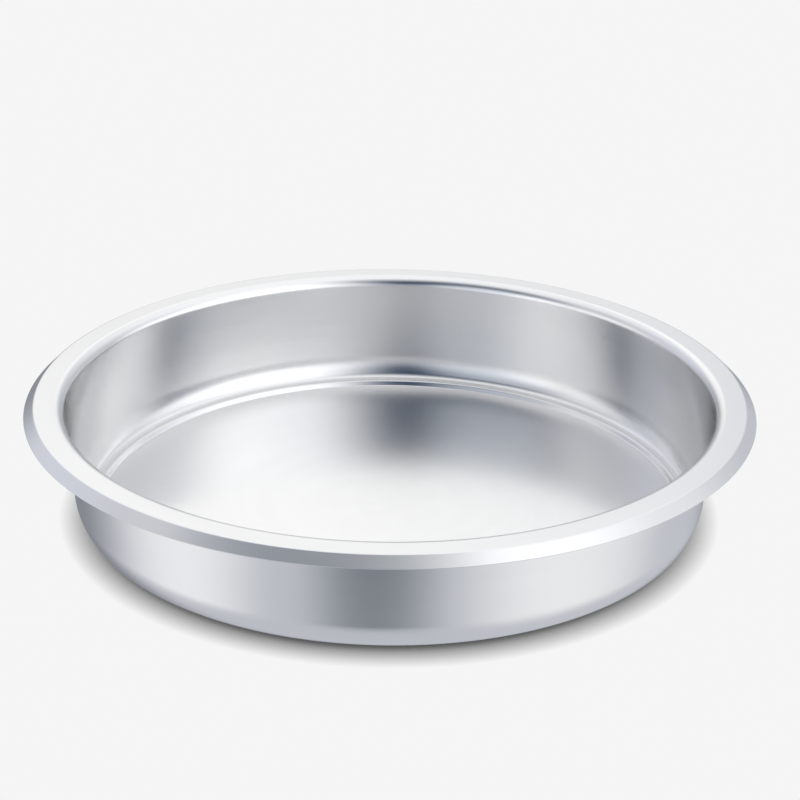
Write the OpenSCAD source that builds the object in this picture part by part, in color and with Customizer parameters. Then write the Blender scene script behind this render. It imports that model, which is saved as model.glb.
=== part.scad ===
// Round stainless steel food pan, pressed from one disc of sheet.
// The pan stands on z = 0 with its axis on z. All sizes are in millimetres.

/* [Rim] */
// Diameter over the bevelled lip
rim_d = 390; // [380:1:410]
// Height from the ground to the top of the flange
height = 66; // [30:1:120]
// How far the bevelled lip reaches outwards beyond the flat flange
lip_reach = 5.2; // [3:0.1:6]
// How far the bevelled lip drops below the flange
lip_drop = 5; // [3:0.1:6]
// Inside radius of the bend between the flange and the lip
lip_bend = 0.6; // [0.4:0.1:1.5]

/* [Wall] */
// Lean of the wall outwards from the vertical, in degrees
wall_lean = 4.5; // [3:0.1:7]
// Inside radius of the bend between the wall and the flange
mouth_bend = 5.2; // [3:0.1:6]

/* [Floor] */
// Diameter of the upper edge of the step around the floor
step_d = 320; // [300:1:328]
// How far the floor lies below the ledge around it
step_drop = 2.8; // [2.5:0.1:5]
// Slope of the step, in degrees
step_slope = 60; // [50:1:70]
// Inside radius of the bend at the upper edge of the step
step_edge_bend = 0.8; // [0.2:0.1:0.9]
// Inside radius of the bend at the foot of the step
step_foot_bend = 1; // [0.5:0.1:3]
// Width of the ledge between the step and the band, before its bends are rounded
ledge_w = 4.6; // [4.3:0.1:12]
// Slope of the conical band between the ledge and the wall, in degrees
band_slope = 60; // [60:1:64]
// Height of the conical band before its bends are rounded
band_rise = 8.1; // [7.8:0.1:10]
// Inside radius of the bend between the ledge and the band
band_foot_bend = 5.5; // [3:0.5:6]
// Inside radius of the bend between the band and the wall
band_top_bend = 22; // [10:1:25]

/* [Sheet] */
// Thickness of the sheet
sheet = 0.8; // [0.6:0.1:1]

/* [Hidden] */
$fn = 360;

// Largest angle between two points along a bend, in degrees
bend_step = 5;

ledge_z = sheet + step_drop;
step_r = step_d / 2;
band_foot_r = step_r + ledge_w;
band_top_z = ledge_z + band_rise;
band_top_r = band_foot_r + band_rise / tan(band_slope);
mouth_r = band_top_r + (height - band_top_z) * tan(wall_lean);

// Upper face of the sheet from the axis to the lip, before its bends are rounded
face = [
    [0, sheet],
    [step_r - step_drop / tan(step_slope), sheet],
    [step_r, ledge_z],
    [band_foot_r, ledge_z],
    [band_top_r, band_top_z],
    [mouth_r, height],
    [rim_d / 2 - lip_reach, height],
    [rim_d / 2, height - lip_drop],
];

last = len(face) - 1;

// Inside radius of the bend at each corner of the face
bends = [0, step_foot_bend, step_edge_bend, band_foot_bend, band_top_bend, mouth_bend, lip_bend, 0];

function unit(v) = v / norm(v);
function left_of(v) = [-v.y, v.x];
function heading(v) = atan2(v.y, v.x);
function reversed(list) = [for (i = [len(list) - 1:-1:0]) list[i]];

// Direction of the run that leaves corner i, and the turn made at the corner
function run(i) = unit(face[i + 1] - face[i]);
function turn(i) = heading(run(i)) - heading(run(i - 1));

// Radius of the upper face in a bend: a left turn has its inside above the sheet
function face_bend(i) = turn(i) > 0 ? bends[i] : bends[i] + sheet;

// Centre of the bend at corner i
function bend_centre(i) =
    face[i]
    - run(i - 1) * face_bend(i) * tan(abs(turn(i)) / 2)
    + left_of(run(i - 1)) * face_bend(i) * sign(turn(i));

// Points round the bend at corner i, on the line that lies depth below the upper face
function bend_points(i, depth) = let (
    side = sign(turn(i)),
    radius = face_bend(i) + side * depth,
    steps = ceil(abs(turn(i)) / bend_step)
) [
    for (k = [0:steps])
        let (angle = heading(run(i - 1)) - 90 * side + turn(i) * k / steps)
        bend_centre(i) + radius * [cos(angle), sin(angle)]
];

// Line that lies depth below the upper face, from the axis to the lip
function sheet_line(depth) = concat(
    [face[0] - depth * left_of(run(0))],
    [for (i = [1:last - 1]) each bend_points(i, depth)],
    [face[last] - depth * left_of(run(last - 1))]
);

module food_pan() {
    color("lightsteelblue")
        rotate_extrude() polygon(concat(sheet_line(0), reversed(sheet_line(sheet))));
}

food_pan();
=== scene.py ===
"""Round steel food pan: the smooth visual model, its steel, the floor, the light and the camera."""
import math

import bpy
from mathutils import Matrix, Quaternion, Vector


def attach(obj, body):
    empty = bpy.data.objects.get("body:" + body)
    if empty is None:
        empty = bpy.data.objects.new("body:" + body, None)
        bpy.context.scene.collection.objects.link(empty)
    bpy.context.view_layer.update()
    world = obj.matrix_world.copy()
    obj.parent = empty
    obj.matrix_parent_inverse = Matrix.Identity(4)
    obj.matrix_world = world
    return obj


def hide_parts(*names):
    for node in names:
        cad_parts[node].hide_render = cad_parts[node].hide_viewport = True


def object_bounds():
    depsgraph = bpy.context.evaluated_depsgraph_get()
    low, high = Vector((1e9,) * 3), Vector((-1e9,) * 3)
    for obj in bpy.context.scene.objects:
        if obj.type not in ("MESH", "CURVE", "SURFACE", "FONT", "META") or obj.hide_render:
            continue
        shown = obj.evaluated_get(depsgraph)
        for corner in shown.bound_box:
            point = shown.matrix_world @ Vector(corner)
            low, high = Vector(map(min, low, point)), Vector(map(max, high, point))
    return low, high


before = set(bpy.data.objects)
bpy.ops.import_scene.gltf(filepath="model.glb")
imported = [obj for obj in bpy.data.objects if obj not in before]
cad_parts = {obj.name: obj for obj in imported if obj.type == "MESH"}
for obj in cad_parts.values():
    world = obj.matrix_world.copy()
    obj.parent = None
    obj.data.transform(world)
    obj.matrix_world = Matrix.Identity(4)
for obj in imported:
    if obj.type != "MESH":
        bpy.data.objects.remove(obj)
cad_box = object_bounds()

MM = 0.001

# Sizes of the pan, from the frame's box and the named values of the design
RIM_R = cad_box[1].x
TOP_Z = cad_box[1].z
SHEET = 0.8 * MM
LIP_REACH = 5.2 * MM
LIP_DROP = 5.0 * MM
WALL_LEAN = 4.5
STEP_R = 160.0 * MM
STEP_DROP = 2.8 * MM
STEP_SLOPE = 60.0
LEDGE_W = 4.6 * MM
BAND_SLOPE = 60.0
BAND_RISE = 8.1 * MM
STEP_FOOT_BEND = 1.0 * MM
STEP_EDGE_BEND = 0.8 * MM
BAND_FOOT_BEND = 5.5 * MM
BAND_TOP_BEND = 22.0 * MM
MOUTH_BEND = 5.2 * MM
LIP_BEND = 0.6 * MM

# Cut edge of the lip: how far the faces stop short of it, its width as a share of the
# gap between them, how far it bulges as a share of half its width, and its points
EDGE_SETBACK = 0.05 * MM
EDGE_WIDTH = 0.999
EDGE_BULGE = 0.1
EDGE_ANGLES = range(30, 180, 30)

# Fineness of the visual mesh
SEGMENTS = 288
BEND_STEP = math.radians(3.0)
FEWEST_BEND_STEPS = 4
RUN_STEP = 6.0 * MM
SHORTEST_RUN = 1.5 * MM
RUN_END = 0.15 * MM


def tan_deg(angle):
    return math.tan(math.radians(angle))


# ---------------------------------------------------------------- shape

def face_corners():
    """Upper face of the sheet from the axis to the lip, before its bends are rounded."""
    ledge_z = SHEET + STEP_DROP
    band_foot_r = STEP_R + LEDGE_W
    band_top_z = ledge_z + BAND_RISE
    band_top_r = band_foot_r + BAND_RISE / tan_deg(BAND_SLOPE)
    mouth_r = band_top_r + (TOP_Z - band_top_z) * tan_deg(WALL_LEAN)
    return [
        Vector((0.0, SHEET)),
        Vector((STEP_R - STEP_DROP / tan_deg(STEP_SLOPE), SHEET)),
        Vector((STEP_R, ledge_z)),
        Vector((band_foot_r, ledge_z)),
        Vector((band_top_r, band_top_z)),
        Vector((mouth_r, TOP_Z)),
        Vector((RIM_R - LIP_REACH, TOP_Z)),
        Vector((RIM_R, TOP_Z - LIP_DROP)),
    ]


# Inside radius of the bend at each corner of the face
FACE_BENDS = [0.0, STEP_FOOT_BEND, STEP_EDGE_BEND, BAND_FOOT_BEND, BAND_TOP_BEND, MOUTH_BEND, LIP_BEND, 0.0]


def left_of(v):
    return Vector((-v.y, v.x))


def heading(v):
    return math.atan2(v.y, v.x)


def bend_points(corner, before, after, inside_bend, depth):
    """Arc that rounds a corner, on the line that lies depth below the upper face."""
    turn = heading(after) - heading(before)
    side = math.copysign(1.0, turn)
    bend = inside_bend if turn > 0 else inside_bend + SHEET
    centre = corner - before * bend * math.tan(abs(turn) / 2) + left_of(before) * bend * side
    start = heading(before) - side * math.pi / 2
    steps = max(FEWEST_BEND_STEPS, math.ceil(abs(turn) / BEND_STEP))
    angles = [start + turn * k / steps for k in range(steps + 1)]
    return [centre + (bend + side * depth) * Vector((math.cos(a), math.sin(a))) for a in angles]


def sheet_line(depth):
    """Outline points that lie depth below the upper face, with every bend rounded."""
    corners = face_corners()
    runs = [(b - a).normalized() for a, b in zip(corners, corners[1:])]
    line = [corners[0] - depth * left_of(runs[0])]
    for i in range(1, len(runs)):
        line += bend_points(corners[i], runs[i - 1], runs[i], FACE_BENDS[i], depth)
    line.append(corners[-1] - depth * left_of(runs[-1]))
    return line


def with_run_points(line):
    """The same line with points along its straight runs, and one near each end that keeps the run flat.

    The run that starts on the axis needs none there.
    """
    out = [line[0]]
    for a, b in zip(line, line[1:]):
        run = b - a
        if run.length > SHORTEST_RUN:
            end = run.normalized() * RUN_END
            pieces = math.ceil(run.length / RUN_STEP)
            if a is not line[0]:
                out.append(a + end)
            out += [a.lerp(b, k / pieces) for k in range(1, pieces)]
            out.append(b - end)
        out.append(b)
    return out


def lip_edge(upper_end, lower_end):
    """Slightly bulging cut edge of the sheet, between its two faces."""
    middle = (upper_end + lower_end) / 2
    arm = (upper_end - middle) * EDGE_WIDTH
    outward = -left_of(arm) * EDGE_BULGE
    angles = [math.radians(d) for d in EDGE_ANGLES]
    return [middle + arm * math.cos(a) + outward * math.sin(a) for a in angles]


def pan_outline():
    """Closed cross-section, from the axis above the floor round the lip to the axis below it."""
    upper = with_run_points(sheet_line(0.0))
    lower = with_run_points(sheet_line(SHEET))
    for line in (upper, lower):
        line[-1] = line[-1] + (line[-2] - line[-1]).normalized() * EDGE_SETBACK
    return upper + lip_edge(upper[-1], lower[-1]) + lower[::-1]


def turned(name, outline, segments):
    """A closed mesh, made by turning an outline that starts and ends on the axis."""
    angles = [2 * math.pi * s / segments for s in range(segments)]
    verts = [(0.0, 0.0, outline[0].y)]
    verts += [(p.x * math.cos(a), p.x * math.sin(a), p.y) for p in outline[1:-1] for a in angles]
    verts.append((0.0, 0.0, outline[-1].y))
    rings = len(outline) - 2
    first_ring = 1
    last_ring = 1 + (rings - 1) * segments
    faces = []
    for here in range(segments):
        beside = (here + 1) % segments
        faces.append((0, first_ring + here, first_ring + beside))
        for ring in range(first_ring, last_ring, segments):
            below = ring + segments
            faces.append((ring + here, below + here, below + beside, ring + beside))
        faces.append((len(verts) - 1, last_ring + beside, last_ring + here))
    mesh = bpy.data.meshes.new(name)
    mesh.from_pydata(verts, [], faces)
    mesh.validate()
    mesh.shade_smooth()
    piece = bpy.data.objects.new(name, mesh)
    bpy.context.scene.collection.objects.link(piece)
    return piece


# ---------------------------------------------------------------- material

class Tree:
    """Short calls for building a node tree."""

    def __init__(self, tree):
        self.tree = tree
        tree.nodes.clear()

    def add(self, kind, **settings):
        node = self.tree.nodes.new(kind)
        for key, value in settings.items():
            setattr(node, key, value)
        return node

    def put(self, socket, value):
        if isinstance(value, bpy.types.NodeSocket):
            self.tree.links.new(value, socket)
        else:
            socket.default_value = value

    def math(self, operation, *values):
        node = self.add("ShaderNodeMath", operation=operation)
        for socket, value in zip(node.inputs, values):
            self.put(socket, value)
        return node.outputs[0]

    def vector_math(self, operation, *values):
        node = self.add("ShaderNodeVectorMath", operation=operation)
        for socket, value in zip(node.inputs, values):
            self.put(socket, value)
        return node.outputs["Value"] if operation == "DOT_PRODUCT" else node.outputs["Vector"]

    def remap(self, value, low, high, to_low, to_high):
        node = self.add("ShaderNodeMapRange", interpolation_type="SMOOTHSTEP")
        for key, v in zip(("Value", "From Min", "From Max", "To Min", "To Max"),
                          (value, low, high, to_low, to_high)):
            self.put(node.inputs[key], v)
        return node.outputs["Result"]


# Grey and roughness of the steel, and how far they vary to each side
STEEL_GREY = 0.771
STEEL_GREY_SPREAD = 0.006
STEEL_ROUGHNESS = 0.22
LINE_SPREAD = 0.01
CLOUD_SPREAD = 0.002

# The polish runs round the axis, and within CALM_CENTRE of it the polish loses its direction bit by bit
STEEL_ANISOTROPY = 0.75
QUARTER_TURN = 0.25
CALM_CENTRE = 150.0 * MM

# Polishing lines per metre across the polish and per radian along it, and clouds per metre
FINE_LINES = (1100.0, 3.0)
BROAD_LINES = (90.0, 1.6)
CLOUDS = 14.0
LINE_DETAIL = 2.0

# Noise values between which the steel varies, and the radius below which the lines stop narrowing
BROAD_RANGE = (0.35, 0.65)
FINE_RANGE = (0.3, 0.7)
AXIS_GUARD = 1.0 * MM


def grey(level):
    return (level, level, level, 1.0)


def object_place(t):
    """The x, y and z of a point on the pan."""
    parts = t.add("ShaderNodeSeparateXYZ")
    t.put(parts.inputs[0], t.add("ShaderNodeTexCoord").outputs["Object"])
    return parts.outputs


def distance_from_axis(t, x, y):
    return t.math("SQRT", t.math("ADD", t.math("MULTIPLY", x, x), t.math("MULTIPLY", y, y)))


def polishing_lines(t, across, along):
    """Noise drawn out round the pan's axis, as left by polishing the turning pan."""
    x, y, z = object_place(t)
    radius = distance_from_axis(t, x, y)
    safe = t.math("MAXIMUM", radius, AXIS_GUARD)
    spot = t.add("ShaderNodeCombineXYZ")
    t.put(spot.inputs[0], t.math("MULTIPLY", t.math("DIVIDE", x, safe), along))
    t.put(spot.inputs[1], t.math("MULTIPLY", t.math("DIVIDE", y, safe), along))
    t.put(spot.inputs[2], t.math("MULTIPLY", radius, across))
    noise = t.add("ShaderNodeTexNoise", noise_dimensions="4D")
    t.put(noise.inputs["Vector"], spot.outputs[0])
    t.put(noise.inputs["W"], t.math("MULTIPLY", z, across))
    t.put(noise.inputs["Scale"], 1.0)
    t.put(noise.inputs["Detail"], LINE_DETAIL)
    return noise.outputs["Fac"]


def steel_colour(t):
    """Neutral grey that varies in broad bands round the pan."""
    colour = t.add("ShaderNodeMix", data_type="RGBA")
    t.put(colour.inputs["Factor"], t.remap(polishing_lines(t, *BROAD_LINES), *BROAD_RANGE, 0.0, 1.0))
    t.put(colour.inputs["A"], grey(STEEL_GREY - STEEL_GREY_SPREAD))
    t.put(colour.inputs["B"], grey(STEEL_GREY + STEEL_GREY_SPREAD))
    return colour.outputs["Result"]


def steel_roughness(t):
    """Roughness that varies with the fine polishing lines and with faint clouds."""
    cloud = t.add("ShaderNodeTexNoise")
    t.put(cloud.inputs["Vector"], t.add("ShaderNodeTexCoord").outputs["Object"])
    t.put(cloud.inputs["Scale"], CLOUDS)
    lines = t.remap(polishing_lines(t, *FINE_LINES), *FINE_RANGE, -LINE_SPREAD, LINE_SPREAD)
    patches = t.remap(cloud.outputs["Fac"], *FINE_RANGE, -CLOUD_SPREAD, CLOUD_SPREAD)
    return t.math("ADD", t.math("ADD", lines, patches), STEEL_ROUGHNESS)


def polish_strength(t):
    x, y, _ = object_place(t)
    return t.remap(distance_from_axis(t, x, y), 0.0, CALM_CENTRE, 0.0, STEEL_ANISOTROPY)


def polished_steel():
    material = bpy.data.materials.new("polished_steel")
    material.use_nodes = True
    t = Tree(material.node_tree)
    shader = t.add("ShaderNodeBsdfPrincipled")
    out = t.add("ShaderNodeOutputMaterial")
    t.put(out.inputs["Surface"], shader.outputs[0])
    t.put(shader.inputs["Base Color"], steel_colour(t))
    t.put(shader.inputs["Metallic"], 1.0)
    t.put(shader.inputs["Roughness"], steel_roughness(t))
    t.put(shader.inputs["Anisotropic"], polish_strength(t))
    t.put(shader.inputs["Anisotropic Rotation"], QUARTER_TURN)
    around = t.add("ShaderNodeTangent", direction_type="RADIAL", axis="Z")
    t.put(shader.inputs["Tangent"], around.outputs[0])
    return material


def make_pan():
    pan = turned("food_pan_skin", pan_outline(), SEGMENTS)
    pan.data.materials.append(polished_steel())
    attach(pan, "root")
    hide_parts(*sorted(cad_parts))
    return pan


# ---------------------------------------------------------------- studio

PALE = 0.915
FLOOR_HALF = 12.0
FLOOR_SINK = 0.02 * MM
# Reach, depth and samples of the floor's painted contact shadow
SHADOW_REACH = 14.0 * MM
SHADOW_DEPTH = 0.9
SHADOW_SAMPLES = 16


def pale_floor_material():
    """A pale floor that glows evenly, with a painted contact shadow: its glow is dimmed where the pan
    stands close over it.
    """
    material = bpy.data.materials.new("pale_floor")
    material.use_nodes = True
    t = Tree(material.node_tree)
    painted_shadow_mask = t.add("ShaderNodeAmbientOcclusion", samples=SHADOW_SAMPLES)
    t.put(painted_shadow_mask.inputs["Distance"], SHADOW_REACH)
    shade = t.add("ShaderNodeEmission")
    t.put(shade.inputs["Color"], grey(PALE))
    # Painted shadow: the floor's glow is dimmed by ambient occlusion where the pan stands close
    t.put(shade.inputs["Strength"], t.math("POWER", painted_shadow_mask.outputs["AO"], SHADOW_DEPTH))
    out = t.add("ShaderNodeOutputMaterial")
    t.put(out.inputs["Surface"], shade.outputs[0])
    return material


def pale_floor():
    """The floor isn't mirrored by the pan, and it casts no shadow of its own."""
    corners = [(-FLOOR_HALF, -FLOOR_HALF, 0), (FLOOR_HALF, -FLOOR_HALF, 0),
               (FLOOR_HALF, FLOOR_HALF, 0), (-FLOOR_HALF, FLOOR_HALF, 0)]
    mesh = bpy.data.meshes.new("studio_floor")
    mesh.from_pydata(corners, [], [(0, 1, 2, 3)])
    floor = bpy.data.objects.new("studio_floor", mesh)
    bpy.context.scene.collection.objects.link(floor)
    floor.location.z = -FLOOR_SINK
    mesh.materials.append(pale_floor_material())
    floor.visible_glossy = False
    floor.visible_shadow = False
    return floor


# Soft boxes add light and black cards take it away: azimuth from the camera's side
# (positive to the right), elevation, half width in degrees, red, green and blue brightness
SOFT_BOXES = {
    "left": (-77.8, -7.1, 43.5, (0.67, 0.66, 0.62)),
    "right": (67.9, -9.5, 51.8, (0.49, 0.47, 0.42)),
    "high_right": (47.2, 18.9, 48.1, (0.82, 0.82, 0.81)),
    "back_strip": (-171.3, 25.4, 22.0, (0.43, 0.41, 0.36)),
    "high_back": (142.2, 73.9, 67.8, (0.56, 0.55, 0.52)),
    "front_card": (-25.1, 44.7, 46.1, (-0.69, -0.68, -0.68)),
    "low_front_card": (-5.0, -18.8, 30.0, (-0.64, -0.63, -0.67)),
    "low_back_card": (-166.1, -25.1, 51.9, (-0.38, -0.39, -0.41)),
    "back_left": (-132.3, 22.8, 34.0, (0.15, 0.15, 0.18)),
    "side_strip": (97.2, 8.6, 22.0, (0.51, 0.52, 0.56)),
    "front_left": (-38.3, 18.8, 31.4, (0.71, 0.73, 0.76)),
}

# Light that comes from every side
FILL = (0.627, 0.649, 0.704)
NO_LIGHT = (0.0, 0.0, 0.0)


def toward(azimuth, elevation):
    """Direction from the pan, with azimuth 0 toward the camera and 90 to its right."""
    a, e = math.radians(azimuth), math.radians(elevation)
    return Vector((math.sin(a) * math.cos(e), -math.cos(a) * math.cos(e), math.sin(e)))


def soft_box(t, direction, azimuth, elevation, half_width):
    """A round patch of light on the far walls of the studio that fades to nothing at its edge."""
    facing = t.vector_math("DOT_PRODUCT", direction, toward(azimuth, elevation))
    return t.remap(facing, math.cos(math.radians(half_width)), 1.0, 0.0, 1.0)


def studio_light():
    """Light of the soft boxes for the pan, and plain pale walls for the camera."""
    world = bpy.data.worlds.new("studio")
    bpy.context.scene.world = world
    world.use_nodes = True
    t = Tree(world.node_tree)
    direction = t.add("ShaderNodeTexCoord").outputs["Generated"]
    total = FILL
    for azimuth, elevation, half_width, colour in SOFT_BOXES.values():
        patch = soft_box(t, direction, azimuth, elevation, half_width)
        total = t.vector_math("MULTIPLY_ADD", patch, colour, total)
    studio = t.add("ShaderNodeBackground")
    t.put(studio.inputs["Color"], t.vector_math("MAXIMUM", total, NO_LIGHT))
    plain = t.add("ShaderNodeBackground")
    t.put(plain.inputs["Color"], grey(PALE))
    both = t.add("ShaderNodeMixShader")
    t.put(both.inputs[0], t.add("ShaderNodeLightPath").outputs["Is Camera Ray"])
    t.put(both.inputs[1], studio.outputs[0])
    t.put(both.inputs[2], plain.outputs[0])
    out = t.add("ShaderNodeOutputWorld")
    t.put(out.inputs["Surface"], both.outputs[0])
    return world


# ---------------------------------------------------------------- camera

CAMERA_DISTANCE = 1130.0 * MM
CAMERA_PITCH = 23.21
CAMERA_ROLL = 0.53
CAMERA_LENS = 94.6
CAMERA_SENSOR = 36.0
CAMERA_CLIP = (0.05, 60.0)
FRAME_SHIFT = (0.0123, -0.0130)


def photo_camera():
    """Camera at the photo's viewing angle, aimed at the middle of the rim's plane."""
    camera = bpy.data.objects.new("camera", bpy.data.cameras.new("camera"))
    bpy.context.scene.collection.objects.link(camera)
    camera.data.lens = CAMERA_LENS
    camera.data.sensor_width = CAMERA_SENSOR
    camera.data.shift_x, camera.data.shift_y = FRAME_SHIFT
    camera.data.clip_start, camera.data.clip_end = CAMERA_CLIP
    aim = Vector((0.0, 0.0, TOP_Z))
    back = toward(0.0, CAMERA_PITCH)
    camera.location = aim + back * CAMERA_DISTANCE
    camera.rotation_mode = "QUATERNION"
    level = (-back).to_track_quat("-Z", "Y")
    camera.rotation_quaternion = level @ Quaternion((0.0, 0.0, 1.0), math.radians(CAMERA_ROLL))
    bpy.context.scene.camera = camera


make_pan()
pale_floor()
studio_light()
photo_camera()
bpy.context.scene.view_settings.view_transform = "Standard"
